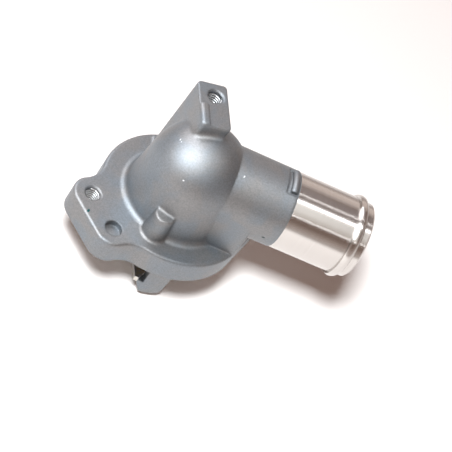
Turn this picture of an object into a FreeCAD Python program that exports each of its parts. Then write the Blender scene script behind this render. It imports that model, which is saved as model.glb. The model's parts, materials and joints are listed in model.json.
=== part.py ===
import FreeCAD, Part
import math
import os
import re

import Sketcher

# Coolant thermostat housing with its wax valve, in millimetres.
# The origin is the centre of the flange's mating face, on the valve's axis. +Z runs up through the
# dome, +X along the hose neck, and the bolting ears lie to both sides.

doc = FreeCAD.newDocument("ThermostatHousing")
sheet = doc.addObject("Spreadsheet::Sheet", "Sizes")
names = []


def size(alias, amount, note):
    """One driving dimension: a row of the sheet with its name, its amount and what it measures."""
    row = len(names) + 1
    sheet.set(f"A{row}", note)
    sheet.set(f"B{row}", str(amount))
    sheet.setAlias(f"B{row}", alias)
    names.append(alias)


def formula(text):
    """The same sum, with every named size read from the sheet."""
    return re.sub(r"[a-z_]+", lambda word: "Sizes." + word[0] if word[0] in names else word[0], text)


def amount_of(text):
    """What a sum of named sizes comes to now."""
    found = sheet.evalExpression(formula(text))
    return float(getattr(found, "Value", found))


# Runs and edges that many shapes share
size("merge_depth", 2.0, "run of one shape into its neighbour, so that the two join")
size("cut_over", 1.0, "run of a cut beyond the metal")
size("small_chamfer", 0.4, "broken edge of a small turned part")

# Flange and ears
size("flange_margin", 4.6, "flange outside its seal groove")
size("flange_thick", 12.2, "flange thickness")
size("flange_edge", 1.2, "rounding of the flange's upper edge")
size("ear_across", 37.4, "fixing hole from the valve axis, along X")
size("ear_along", 16.5, "fixing hole from the valve axis, along Y")
size("ear_radius", 9.0, "rounding of an ear about its hole")
size("ear_blend", 13.0, "hollow corner between the wide ear and the round flange")
size("dimple_across", 24.7, "blind round pocket from the valve axis, along X")
size("dimple_along", 30.7, "blind round pocket from the valve axis, along Y")
size("dimple_radius", 4.0, "blind round pocket")
size("dimple_deep", 3.0, "depth of the blind round pocket")
size("thread_radius", 3.4, "tapping hole of the M8 threads")
size("thread_mouth", 4.1, "countersunk mouth of a threaded hole")
size("stud_depth", 16.0, "depth of the bracket's threaded hole")

# Dome and chamber
size("dome_radius", 22.9, "outside of the dome")
size("dome_wall", 4.0, "wall of the dome")
size("dome_draft", 5.0, "lean of the dome's wall, degrees")
size("dome_foot", 3.0, "rounding where the dome meets the flange")
size("neck_height", 21.4, "neck axis above the flange's upper face")
size("throat_radius", 16.5, "opening that the valve closes")
size("port_gap", 2.1, "room round the valve in its port")
size("seat_height", 4.0, "valve seat above the mating face")
size("throat_long", 3.5, "straight part of the throat")
size("throat_cone", 3.0, "height of the cone between throat and chamber")

# Neck and hose spigot
size("neck_radius", 18.2, "cast neck at its shoulder")
size("neck_draft", 0.2, "taper of the cast neck, degrees")
size("shoulder_reach", 43.0, "cast neck's end from the valve axis")
size("shoulder_edge", 0.8, "bevel of the cast neck's end, along the neck")
size("spigot_radius", 18.0, "machined hose spigot")
size("spigot_reach", 80.4, "spigot's end from the valve axis")
size("spigot_bore", 15.2, "bore of neck and spigot")
size("bead_back", 7.8, "back of the hose bead, from the spigot's end")
size("bead_step", 1.0, "square step at the back of the hose bead")
size("bead_front", 3.4, "front of the hose bead, from the spigot's end")
size("bead_bend", 2.8, "rounding of the hose bead")
size("land_radius", 17.6, "plain end before the bead")
size("lip_chamfer", 0.8, "chamfer of the spigot's end")
size("stop_radius", 19.9, "top of the hose stop on the neck")
size("stop_wide", 3.4, "hose stop along the neck")
size("stop_back", 0.7, "hose stop behind the cast neck's end")
size("stop_bend", 1.75, "rounding of the hose stop's top")
size("stop_near", 17.0, "hose stop's near end, degrees round from the neck's top")
size("stop_far", 24.0, "hose stop's far end, degrees round from the neck's top")
size("moat_radius", 17.2, "floor of the recess round the hose stop")
size("moat_wide", 5.8, "recess round the hose stop along the neck")
size("moat_margin", 4.0, "recess beyond the hose stop's ends, degrees")

# Boss column beside the dome
size("boss_across", 6.8, "boss column from the valve axis, along X")
size("boss_along", 23.65, "boss column from the valve axis, along Y")
size("boss_radius", 5.6, "boss column at its foot")
size("boss_top", 4.75, "boss column at its top")
size("boss_height", 13.4, "boss column above the flange's upper face")
size("boss_foot", 1.6, "rounding of the boss column's foot")
size("boss_edge", 0.8, "edge of the boss column's top")
size("boss_root", 1.4, "hollow corner between the boss column's top and the dome")

# Bracket lug on its rib
size("lug_bearing", 104.0, "lug's long axis, degrees round from +X")
size("lug_stand", 6.5, "cast top of the lug above the dome's top")
size("lug_cut", 0.8, "machined depth of the lug's face")
size("lug_start", 1.6, "near end of the lug")
size("lug_end", 26.5, "far end of the lug")
size("lug_left", 10.35, "lug's left side")
size("lug_right", 4.1, "lug's right side")
size("rib_end", 33.8, "rib's far end on the flange")
size("rib_left_start", 10.6, "rib's left side on the flange, near end")
size("rib_left_end", 8.3, "rib's left side on the flange, far end")
size("rib_right", 0.5, "rib's right side on the flange")
size("lug_step", 13.6, "end of the strip left as cast on the lug")
size("lug_strip", 4.0, "width of the strip left as cast")
size("lug_corner", 2.0, "rounding of the rib's upright corners")
size("lug_edge", 1.8, "rounding of the lug's upper edge")
size("lug_root", 2.0, "hollow corner between rib and dome")
size("lug_hole_out", 19.4, "lug's threaded hole along the lug")
size("lug_hole_side", 2.1, "lug's threaded hole to the left")

# Legs that carry the crossbar
size("leg_bearing", -75.0, "middle of the near leg, degrees round from +X")
size("leg_set", 0.5, "inner face of a leg outside the port's wall")
size("leg_thick", 4.0, "thickness of a leg")
size("leg_long", 27.6, "leg below the mating face")
size("leg_left", 11.2, "leg's left side at the flange")
size("leg_right", 9.4, "leg's right side at the flange")
size("foot_left", 7.9, "foot's left corner")
size("foot_left_low", 4.9, "foot's left side at its end")
size("foot_right_low", 6.9, "foot's right side at its end")
size("foot_bend", 2.4, "rounding of the foot's corners")
size("foot_flat", 4.4, "round outer face of the foot, to the left")
size("foot_slant", 35.0, "slope of the foot's outer side left of it, degrees")
size("notch_roof", 12.2, "roof of the hook's notch below the mating face")
size("notch_end", 4.0, "closed side of the hook's notch")

# Flange seal ring
size("groove_land", 2.5, "land between the legs and the seal groove")
size("groove_wide", 3.4, "seal groove width")
size("groove_deep", 2.6, "seal groove depth")
size("seal_slack", 0.2, "seal ring's side clearance in its groove")

# Piston and its socket
size("pillar_drop", 3.6, "socket pillar's lower end below the neck's axis")
size("pillar_radius", 5.0, "socket pillar at its lower end")
size("pillar_flare", 7.0, "socket pillar at the dome")
size("piston_radius", 2.0, "piston rod")
size("socket_deep", 6.0, "depth of the piston's socket")
size("socket_slack", 0.1, "radial clearance of the socket")
size("guide_slack", 0.05, "running clearance of the piston in its guide")
size("piston_tail", 10.0, "piston's inner end below the mating face")
size("piston_edge", 0.6, "chamfer of the piston's ends")

# Wax element
size("case_radius", 6.8, "element case")
size("case_wall", 0.8, "wall of the element case")
size("case_bend", 1.0, "rounding of the case's bottom")
size("case_bottom", 22.0, "case's shoulder below the mating face")
size("rim_wall", 0.8, "wall of the crimped rim")
size("rim_low", 0.4, "underside of the crimped rim")
size("rim_lip", 0.6, "thickness of the crimped lip")
size("collar_step", 0.8, "guide's collar beyond the case's wall")
size("collar_low", 1.2, "underside of the guide's collar")
size("collar_high", 3.8, "top of the guide's collar")
size("hub_radius", 5.8, "guide where the valve plate sits")
size("guide_radius", 4.2, "guide's upper neck")
size("guide_top", 15.0, "top of the guide")
size("guide_land", 1.0, "guide's land over the circlip, and its cone")
size("boot_radius", 3.6, "rubber boot")
size("boot_bend", 1.0, "rounding of the boot's lower end")
size("boot_bottom", 13.0, "boot's lower end below the mating face")
size("boot_slack", 0.3, "clearance of the piston in the boot")

# Valve plate, its seal and circlip
size("plate_thick", 1.0, "sheet of the valve plate")
size("plate_low", 2.1, "underside of the plate's rim")
size("plate_over", 0.5, "valve plate beyond the throat")
size("dish_room", 0.3, "raised hub of the plate beyond the crimped rim")
size("dish_run", 1.5, "slope between the plate's hub and its rim")
size("lip_in", 1.1, "valve seal inside the throat")
size("lip_out", 2.4, "valve seal beyond the throat")
size("lip_thick", 0.8, "seal rubber over and under the plate")
size("lip_bend", 0.4, "rounding of the seal's edge")
size("clip_thick", 0.8, "sheet of the two clips")
size("clip_notch", 0.5, "depth of the circlip's groove in the guide")
size("clip_band", 2.1, "width of the plate circlip")
size("clip_gap", 35.0, "half of a clip's open angle, degrees")
size("fit_slack", 0.05, "clearance of a hole on the part that it seats on")

# Bleed pin
size("bleed_room", 0.3, "bleed pin's head to the valve seal")
size("bleed_hole", 1.0, "bleed hole")
size("bleed_stem", 0.7, "stem of the bleed pin")
size("bleed_head", 1.2, "head of the bleed pin")
size("bleed_cap", 0.9, "height of the bleed pin's head")
size("bleed_bulb", 1.1, "lower bulb of the bleed pin")
size("bleed_play", 1.3, "free height of the bleed pin")
size("bleed_gap", 0.1, "gap under the bleed pin's head at rest")

# Crossbar
size("bar_top", 19.3, "crossbar's upper face below the mating face")
size("bar_thick", 1.2, "sheet of the crossbar")
size("bar_brim", 1.4, "crossbar's middle beyond the spring")
size("bar_slack", 0.35, "clearance of the case in the crossbar")
size("bar_out", 0.7, "crossbar's tip beyond the legs")
size("bar_bearing", -93.5, "near arm of the crossbar, degrees round from +X")
size("bar_root", 1.4, "start of the crossbar's arms inside its middle")
size("arm_root", 5.4, "half width of an arm at its root")
size("arm_tip", 0.9, "half width of an arm at its tip")
size("arm_rim", 1.1, "thickness of an arm's upturned edge")
size("rim_start", 0.4, "start of the upturned edges beyond the crossbar's middle")
size("rim_rise", 1.6, "height of the upturned edges")
size("bar_gap", 0.1, "gap between crossbar and hook")

# Main spring
size("main_room", 0.6, "main spring to the bleed pin")
size("main_flare", 1.8, "main spring wider at its foot than at its top")
size("main_wire", 1.0, "radius of the main spring's wire")
size("main_turns", 4.5, "turns of the main spring")

# Bypass valve
size("stem_radius", 2.5, "stem under the case")
size("stem_tail", 1.1, "stem's end below the bypass clip")
size("bypass_drop", 6.4, "bypass valve's upper face below the case")
size("bypass_thick", 1.2, "sheet of the bypass valve")
size("bypass_radius", 9.0, "bypass valve")
size("stem_slack", 0.06, "running clearance of the bypass valve on its stem")
size("stem_band", 2.5, "width of the bypass clip")
size("stem_notch", 0.6, "depth of the clip's groove in the stem")
size("small_low", 6.2, "bypass spring's mean radius on the valve")
size("small_high", 4.4, "bypass spring's mean radius under the case")
size("small_wire", 0.55, "radius of the bypass spring's wire")
size("small_turns", 3.0, "turns of the bypass spring")
doc.recompute()


def new_body(name):
    """A sub-part: its name is also its label and its file's name."""
    body = doc.addObject("PartDesign::Body", name)
    body.Label = name
    return body


def new_sketch(body, name, plane, lift="0", aside="0", beyond="0", turn="0"):
    """A sketch on one of the body's own planes, moved by three sums and turned about +Z by a fourth."""
    base = [found for found in body.Origin.OriginFeatures if found.Role == plane][0]
    sketch = body.newObject("Sketcher::SketchObject", name)
    sketch.AttachmentSupport = [(base, "")]
    sketch.MapMode = "FlatFace"
    upright = plane == "XZ_Plane"
    axis = FreeCAD.Vector(0, 1, 0) if upright else FreeCAD.Vector(0, 0, 1)
    sketch.AttachmentOffset = FreeCAD.Placement(FreeCAD.Vector(), FreeCAD.Rotation(axis, amount_of(turn)))
    places = {"x": aside, "y": lift, "z": beyond} if upright else {"x": aside, "y": beyond, "z": lift}
    for letter, text in places.items():
        if text != "0":
            sketch.setExpression(f"AttachmentOffset.Base.{letter}", formula(text))
    if turn != "0":
        sketch.setExpression("AttachmentOffset.Rotation.Angle", formula(turn))
    return sketch


def add_outline(sketch, corners):
    """A closed outline through corners given as sums. A third sum is the radius of the arc that
    arrives at its corner: positive with the centre to the left, negative with it to the right."""
    spots = [FreeCAD.Vector(amount_of(corner[0]), amount_of(corner[1]), 0) for corner in corners]
    edges = []
    for start, end, corner in zip(spots[-1:] + spots[:-1], spots, corners):
        if len(corner) == 2:
            edges.append(add_line(sketch, start, end))
            continue
        radius = amount_of(corner[2])
        run = end - start
        left = FreeCAD.Vector(-run.y, run.x, 0).normalize()
        rise = math.sqrt(max(radius * radius - run.Length * run.Length / 4, 0))
        centre = (start + end) * 0.5 + left * math.copysign(rise, radius)
        edges.append(add_arc(sketch, centre, start, end, radius < 0))
    for edge, following, corner in zip(edges, edges[1:] + edges[:1], corners):
        number, _, last = edge
        sketch.addConstraint(Sketcher.Constraint("Coincident", number, last, *following[:2]))
        bind(sketch, "DistanceX", corner[0], f"across{number}", -1, 1, number, last)
        bind(sketch, "DistanceY", corner[1], f"along{number}", -1, 1, number, last)
        if len(corner) == 3:
            bind(sketch, "Radius", f"abs({corner[2]})", f"bend{number}", number)


def add_line(sketch, start, end):
    """A straight edge: its number, then the numbers of its first and last points."""
    return sketch.addGeometry(Part.LineSegment(start, end), False), 1, 2


def add_arc(sketch, centre, start, end, clockwise=False):
    """A round edge: its number, then the numbers of its first and last points."""
    ordered = (end, start) if clockwise else (start, end)
    angles = [math.atan2(spot.y - centre.y, spot.x - centre.x) for spot in ordered]
    circle = Part.Circle(centre, FreeCAD.Vector(0, 0, 1), centre.distanceToPoint(start))
    number = sketch.addGeometry(Part.ArcOfCircle(circle, *angles), False)
    return (number, 2, 1) if clockwise else (number, 1, 2)


def bind(sketch, kind, text, name, *places):
    """A sketch constraint whose value is a sum of named sizes."""
    number = sketch.addConstraint(Sketcher.Constraint(kind, *places, amount_of(text)))
    sketch.renameConstraint(number, name)
    sketch.setExpression(f"Constraints.{name}", formula(text))


def add_circle(sketch, across, along, radius):
    """A whole circle whose centre and radius are sums."""
    centre = FreeCAD.Vector(amount_of(across), amount_of(along), 0)
    circle = sketch.addGeometry(Part.Circle(centre, FreeCAD.Vector(0, 0, 1), amount_of(radius)), False)
    bind(sketch, "DistanceX", across, f"across{circle}", -1, 1, circle, 3)
    bind(sketch, "DistanceY", along, f"along{circle}", -1, 1, circle, 3)
    bind(sketch, "Radius", radius, f"radius{circle}", circle)


def spin(body, kind, sketch, axis="V_Axis"):
    """A full turn of a sketch about one of its own axes, which adds or cuts."""
    feature = body.newObject(f"PartDesign::{kind}", sketch.Name + "_turn")
    feature.Profile = sketch
    feature.ReferenceAxis = (sketch, [axis])
    feature.Angle = 360
    sketch.Visibility = False
    doc.recompute()
    return feature


def part_turn(body, kind, sketch, near, far):
    """A turn of a sketch about its own X axis, by two angles to both sides of its plane."""
    feature = spin(body, kind, sketch, "H_Axis")
    feature.Type = "TwoAngles"
    feature.setExpression("Angle", formula(near))
    feature.setExpression("Angle2", formula(far))
    doc.recompute()
    return feature


def push(body, kind, sketch, length, back=False):
    """A pad or a pocket of a sketch, of one length."""
    feature = body.newObject(f"PartDesign::{kind}", sketch.Name + "_run")
    feature.Profile = sketch
    feature.setExpression("Length", formula(length))
    feature.Reversed = back
    sketch.Visibility = False
    doc.recompute()
    return feature


def turned_part(name, corners):
    """A sub-part of revolution about the valve's axis, from its section as (radius, height)."""
    body = new_body(name)
    section = new_sketch(body, name + "_section", "XZ_Plane")
    add_outline(section, corners)
    spin(body, "Revolution", section)
    return body


def half_turn(body, features):
    """The same features again on the opposite side of the valve's axis."""
    pattern = body.newObject("PartDesign::PolarPattern", features[0].Name + "_pair")
    pattern.Originals = features
    axis = [found for found in body.Origin.OriginFeatures if found.Role == "Z_Axis"][0]
    pattern.Axis = (axis, [""])
    pattern.Angle = 360
    pattern.Occurrences = 2
    body.Tip = pattern
    doc.recompute()
    return pattern


# Radii and heights that follow from one another, from the throat outwards and from the case outwards

PORT = "(throat_radius + lip_out + port_gap)"
LEG = f"({PORT} + leg_set)"
LEG_FACE = f"({LEG} + leg_thick)"
RING = f"({LEG_FACE} + groove_land)"
FLANGE = f"({RING} + groove_wide + flange_margin)"
BLEED = "(throat_radius - lip_in - bleed_room - bleed_head)"
COIL = f"({BLEED} - bleed_bulb - main_room - main_wire)"
DISC = f"({COIL} + main_flare + main_wire + bar_brim)"
COLLAR = "(case_radius + collar_step)"
RIM = f"({COLLAR} + rim_wall)"
DISH = f"({RIM} + dish_room)"
NECK = "(flange_thick + neck_height)"
DOME_TOP = f"({NECK} + dome_radius)"
PILLAR = f"({NECK} - pillar_drop)"
SOCKET = f"({PILLAR} + socket_deep)"
HUB = "(collar_high + rim_lip)"
BYPASS = "(case_bottom + bypass_drop)"
CLIP = f"({BYPASS} + bypass_thick + clip_thick)"
NOTCH = "(stem_radius - stem_notch)"
BAR = "(bar_top + bar_thick)"


# Flange outline of tangent arcs and lines

def hull_side(centre, radius, other, other_radius):
    """Where the outer tangent of two circles touches them, going anticlockwise from the first."""
    along = other - centre
    apart = along.Length
    along = along / apart
    left = FreeCAD.Vector(-along.y, along.x, 0)
    cosine = (radius - other_radius) / apart
    normal = along * cosine - left * math.sqrt(1 - cosine * cosine)
    return centre + normal * radius, other + normal * other_radius


def hollow_corner(centre, radius, other, other_radius, blend):
    """A hollow arc between two circles, right of the way from the first to the second: its centre
    and the two points where it touches them."""
    along = other - centre
    apart = along.Length
    along = along / apart
    right = FreeCAD.Vector(along.y, -along.x, 0)
    reach, other_reach = radius + blend, other_radius + blend
    forward = (reach * reach - other_reach * other_reach + apart * apart) / (2 * apart)
    hollow = centre + along * forward + right * math.sqrt(reach * reach - forward * forward)
    return (hollow, centre + (hollow - centre) * (radius / reach),
            other + (hollow - other) * (other_radius / other_reach))


def flange_outline(sketch):
    """Round flange with a plain ear to the right and a wide one to the left, which runs from the
    fixing hole to the dimple."""
    middle = FreeCAD.Vector()
    ear = FreeCAD.Vector(amount_of("ear_across"), amount_of("ear_along"), 0)
    dimple = FreeCAD.Vector(-amount_of("dimple_across"), -amount_of("dimple_along"), 0)
    flange, bend, blend = amount_of(FLANGE), amount_of("ear_radius"), amount_of("ear_blend")
    out, out_ear = hull_side(middle, flange, ear, bend)
    back_ear, back = hull_side(ear, bend, middle, flange)
    far, far_flange, far_ear = hollow_corner(middle, flange, -ear, bend, blend)
    flat_ear, flat_dimple = hull_side(-ear, bend, dimple, bend)
    near, near_dimple, near_flange = hollow_corner(dimple, bend, middle, flange, blend)
    loop = [
        add_line(sketch, out, out_ear),
        add_arc(sketch, ear, out_ear, back_ear),
        add_line(sketch, back_ear, back),
        add_arc(sketch, middle, back, far_flange),
        add_arc(sketch, far, far_flange, far_ear, clockwise=True),
        add_arc(sketch, -ear, far_ear, flat_ear),
        add_line(sketch, flat_ear, flat_dimple),
        add_arc(sketch, dimple, flat_dimple, near_dimple),
        add_arc(sketch, near, near_dimple, near_flange, clockwise=True),
        add_arc(sketch, middle, near_flange, out),
    ]
    for edge, following in zip(loop, loop[1:] + loop[:1]):
        sketch.addConstraint(Sketcher.Constraint("Tangent", edge[0], edge[2], *following[:2]))
    for number, sign, across, along in ((1, "", "ear_across", "ear_along"),
                                        (5, "-", "ear_across", "ear_along"),
                                        (7, "-", "dimple_across", "dimple_along")):
        bind(sketch, "DistanceX", sign + across, f"across{number}", -1, 1, number, 3)
        bind(sketch, "DistanceY", sign + along, f"along{number}", -1, 1, number, 3)
        bind(sketch, "Radius", "ear_radius", f"radius{number}", number)
    for number in (3, 9):
        sketch.addConstraint(Sketcher.Constraint("Coincident", number, 3, -1, 1))
        bind(sketch, "Radius", FLANGE, f"radius{number}", number)
    for number in (4, 8):
        bind(sketch, "Radius", "ear_blend", f"radius{number}", number)


def edges_at(feature, height):
    """Names of a feature's edges that lie wholly at one height."""
    found = []
    for n, edge in enumerate(feature.Shape.Edges):
        box = edge.BoundBox
        if abs(box.ZMin - height) < 0.001 and abs(box.ZMax - height) < 0.001:
            found.append(f"Edge{n + 1}")
    return found


def edge_near(feature, spot):
    """Name of a feature's edge that passes closest to a point."""
    apart = [edge.distToShape(Part.Vertex(spot))[0] for edge in feature.Shape.Edges]
    return f"Edge{apart.index(min(apart)) + 1}"


def blend(feature, name, edges, radius):
    """Rounds edges of the casting's newest feature, and those that run on smoothly from them."""
    made = casting.newObject("PartDesign::Fillet", name)
    made.Base = (feature, edges)
    made.setExpression("Radius", formula(radius))
    doc.recompute()
    return made


# Housing casting: flange, dome, neck, boss column, lug and legs in one piece

casting = new_body("housing_casting")

flange_sketch = new_sketch(casting, "flange", "XY_Plane")
flange_outline(flange_sketch)
flange = push(casting, "Pad", flange_sketch, "flange_thick")
blend(flange, "flange_rounding", edges_at(flange, amount_of("flange_thick")), "flange_edge")

LEAN = "(dome_draft * 1deg)"
FOOT = f"((dome_radius + (neck_height - dome_foot) * sin{LEAN}) / cos{LEAN})"
dome = new_sketch(casting, "dome", "XZ_Plane")
add_outline(dome, [
    ("0", "flange_thick - merge_depth"),
    (f"{FOOT} + dome_foot", "flange_thick - merge_depth"),
    (f"{FOOT} + dome_foot", "flange_thick"),
    (FOOT, "flange_thick + dome_foot", "-dome_foot"),
    (f"dome_radius * cos{LEAN}", f"{NECK} + dome_radius * sin{LEAN}"),
    ("0", DOME_TOP, "dome_radius"),
])
spin(casting, "Revolution", dome)

neck = new_sketch(casting, "neck", "XZ_Plane", lift=NECK)
add_outline(neck, [
    ("0", "0"),
    ("0", "neck_radius + shoulder_reach * tan(neck_draft * 1deg)"),
    ("shoulder_reach - shoulder_edge", "neck_radius"),
    ("shoulder_reach", "spigot_radius"),
    ("spigot_reach - bead_back", "spigot_radius"),
    ("spigot_reach - bead_back", "spigot_radius + bead_step"),
    ("spigot_reach - bead_front", "land_radius", "-bead_bend"),
    ("spigot_reach - lip_chamfer", "land_radius"),
    ("spigot_reach", "land_radius - lip_chamfer"),
    ("spigot_reach", "0"),
])
spin(casting, "Revolution", neck, "H_Axis")

moat = new_sketch(casting, "stop_recess", "XZ_Plane", lift=NECK)
add_outline(moat, [
    ("shoulder_reach - moat_wide", "moat_radius"),
    ("shoulder_reach", "moat_radius"),
    ("shoulder_reach", "neck_radius + cut_over"),
    ("shoulder_reach - moat_wide", "neck_radius + cut_over"),
])
part_turn(casting, "Groove", moat, "stop_near + moat_margin", "stop_far + moat_margin")
stop = new_sketch(casting, "hose_stop", "XZ_Plane", lift=NECK)
STOP = "(shoulder_reach - stop_back)"
add_outline(stop, [
    (f"{STOP} - stop_wide", "moat_radius - merge_depth"),
    (STOP, "moat_radius - merge_depth"),
    (STOP, "stop_radius - stop_wide / 2"),
    (f"{STOP} - stop_wide", "stop_radius - stop_wide / 2", "stop_bend"),
])
part_turn(casting, "Revolution", stop, "stop_near", "stop_far")

skirt = new_sketch(casting, "skirt", "XY_Plane", lift="flange_thick - merge_depth")
SKIRT = f"sqrt({FLANGE} * {FLANGE} - neck_radius * neck_radius)"
add_outline(skirt, [
    ("0", "-neck_radius"),
    (SKIRT, "-neck_radius"),
    (SKIRT, "neck_radius", FLANGE),
    ("0", "neck_radius"),
])
push(casting, "Pad", skirt, "neck_height + merge_depth")

boss = new_sketch(casting, "boss", "XZ_Plane", aside="-boss_across", beyond="boss_along")
add_outline(boss, [
    ("0", "flange_thick - merge_depth"),
    ("boss_radius + boss_foot", "flange_thick - merge_depth"),
    ("boss_radius + boss_foot", "flange_thick"),
    ("boss_radius", "flange_thick + boss_foot", "-boss_foot"),
    ("boss_top", "flange_thick + boss_height - boss_edge"),
    ("boss_top - boss_edge", "flange_thick + boss_height", "boss_edge"),
    ("0", "flange_thick + boss_height"),
])
column = spin(casting, "Revolution", boss)
WALL = f"({FOOT} - (boss_height - dome_foot) * tan{LEAN})"
towards = FreeCAD.Vector(-amount_of("boss_across"), -amount_of("boss_along"), 0).normalize()
crease = towards * amount_of(WALL) + FreeCAD.Vector(0, 0, amount_of("flange_thick + boss_height"))
blend(column, "boss_corner", [edge_near(column, crease)], "boss_root")


def rounded_corners(start, end, left_start, left_end, right):
    """A section of the rib with its four corners rounded."""
    return [
        (start, f"{left_start} - lug_corner"),
        (f"{start} + lug_corner", left_start, "-lug_corner"),
        (f"{end} - lug_corner", left_end),
        (end, f"{left_end} - lug_corner", "-lug_corner"),
        (end, f"lug_corner - {right}"),
        (f"{end} - lug_corner", f"-{right}", "-lug_corner"),
        (f"{start} + lug_corner", f"-{right}"),
        (start, f"lug_corner - {right}", "-lug_corner"),
    ]


lug_top = new_sketch(casting, "lug_top", "XY_Plane", lift=f"{DOME_TOP} + lug_stand", turn="lug_bearing")
add_outline(lug_top, rounded_corners("lug_start", "lug_end", "lug_left", "lug_left", "lug_right"))
rib_foot = new_sketch(casting, "rib_foot", "XY_Plane", lift="flange_thick - merge_depth", turn="lug_bearing")
add_outline(rib_foot, rounded_corners("lug_start", "rib_end", "rib_left_start", "rib_left_end", "rib_right"))
rib = casting.newObject("PartDesign::AdditiveLoft", "rib")
rib.Profile = lug_top
rib.Sections = [rib_foot]
rib.Ruled = True
doc.recompute()


def on_rib(along, left, height):
    """A point given by sums along the lug, to its left and up."""
    turn = FreeCAD.Rotation(FreeCAD.Vector(0, 0, 1), amount_of("lug_bearing"))
    return turn.multVec(FreeCAD.Vector(amount_of(along), amount_of(left), amount_of(height)))


brim = on_rib("(lug_start + lug_end) / 2", "-lug_right", f"{DOME_TOP} + lug_stand")
lug = blend(rib, "lug_rounding", [edge_near(rib, brim)], "lug_edge")
saddle = on_rib("lug_start", "0", f"{NECK} + sqrt(dome_radius * dome_radius - lug_start * lug_start)")
blend(lug, "rib_corner", [edge_near(lug, saddle)], "lug_root")

leg = new_sketch(casting, "leg", "XZ_Plane", turn="leg_bearing + 90")
add_outline(leg, [
    ("-leg_left", "merge_depth"),
    ("-leg_left", "-notch_roof"),
    ("-notch_end", "-notch_roof"),
    ("-notch_end", f"-({BAR} + bar_gap)"),
    ("-foot_left", f"-({BAR} + bar_gap)"),
    ("-foot_left_low", "-leg_long + foot_bend"),
    ("-foot_left_low + foot_bend", "-leg_long", "foot_bend"),
    ("foot_right_low - foot_bend", "-leg_long"),
    ("foot_right_low", "-leg_long + foot_bend", "foot_bend"),
    ("leg_right", "merge_depth"),
])
leg_run = push(casting, "Pad", leg, f"{LEG_FACE} + cut_over")
foot_side = new_sketch(casting, "foot_side", "XY_Plane", lift="-notch_roof", turn="leg_bearing + 90")
SLANT = "tan(foot_slant * 1deg)"
add_outline(foot_side, [
    ("-foot_flat + cut_over", f"-{LEG_FACE} - cut_over * {SLANT}"),
    ("-foot_flat - leg_left", f"-{LEG_FACE} + leg_left * {SLANT}"),
    ("-foot_flat - leg_left", f"-{LEG_FACE} - cut_over * {SLANT}"),
])
foot_run = push(casting, "Pocket", foot_side, "leg_long")
half_turn(casting, [leg_run, foot_run])

leg_face = new_sketch(casting, "leg_face", "XZ_Plane")
add_outline(leg_face, [
    (LEG_FACE, "0"),
    (LEG_FACE, "-leg_long - cut_over"),
    (FLANGE, "-leg_long - cut_over"),
    (FLANGE, "0"),
])
spin(casting, "Groove", leg_face)

chamber = new_sketch(casting, "chamber", "XZ_Plane")
add_outline(chamber, [
    ("0", "-leg_long - cut_over"),
    (LEG, "-leg_long - cut_over"),
    (LEG, "0"),
    (PORT, "0"),
    (PORT, "seat_height"),
    ("throat_radius", "seat_height"),
    ("throat_radius", "seat_height + throat_long"),
    ("dome_radius - dome_wall", "seat_height + throat_long + throat_cone"),
    ("dome_radius - dome_wall", NECK),
    ("0", f"{DOME_TOP} - dome_wall", "dome_radius - dome_wall"),
])
spin(casting, "Groove", chamber)

bore = new_sketch(casting, "bore", "XZ_Plane", lift=NECK)
add_outline(bore, [
    ("0", "0"),
    ("0", "spigot_bore"),
    ("spigot_reach + cut_over", "spigot_bore"),
    ("spigot_reach + cut_over", "0"),
])
spin(casting, "Groove", bore, "H_Axis")

pillar = new_sketch(casting, "pillar", "XZ_Plane")
add_outline(pillar, [
    ("piston_radius + socket_slack", PILLAR),
    ("pillar_radius", PILLAR),
    ("pillar_flare", f"{DOME_TOP} - dome_wall"),
    ("0", f"{DOME_TOP} - dome_wall"),
    ("0", SOCKET),
    ("piston_radius + socket_slack", SOCKET),
])
spin(casting, "Revolution", pillar)

groove = new_sketch(casting, "seal_groove", "XZ_Plane")
add_outline(groove, [
    (RING, "-cut_over"),
    (f"{RING} + groove_wide", "-cut_over"),
    (f"{RING} + groove_wide", "groove_deep"),
    (RING, "groove_deep"),
])
spin(casting, "Groove", groove)

for side, sign in (("right", ""), ("left", "-")):
    hole = new_sketch(casting, f"{side}_thread", "XZ_Plane", aside=f"{sign}ear_across",
                      beyond="-ear_along" if sign == "" else "ear_along")
    add_outline(hole, [
        ("0", "-cut_over"),
        ("thread_radius", "-cut_over"),
        ("thread_radius", "flange_thick - (thread_mouth - thread_radius)"),
        ("thread_mouth + cut_over", "flange_thick + cut_over"),
        ("0", "flange_thick + cut_over"),
    ])
    spin(casting, "Groove", hole)

dimple = new_sketch(casting, "dimple", "XY_Plane", lift="flange_thick - dimple_deep")
add_circle(dimple, "-dimple_across", "-dimple_along", "dimple_radius")
push(casting, "Pocket", dimple, "dimple_deep + cut_over", back=True)

LUG_FACE = f"({DOME_TOP} + lug_stand - lug_cut)"
lug_face = new_sketch(casting, "lug_face", "XY_Plane", lift=LUG_FACE, turn="lug_bearing")
add_outline(lug_face, [
    ("lug_start - cut_over", "-lug_right - cut_over"),
    ("lug_end + cut_over", "-lug_right - cut_over"),
    ("lug_end + cut_over", "lug_left + cut_over"),
    ("lug_step", "lug_left + cut_over"),
    ("lug_step", "lug_left - lug_strip"),
    ("lug_start - cut_over", "lug_left - lug_strip"),
])
push(casting, "Pocket", lug_face, "lug_cut + cut_over", back=True)

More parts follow.
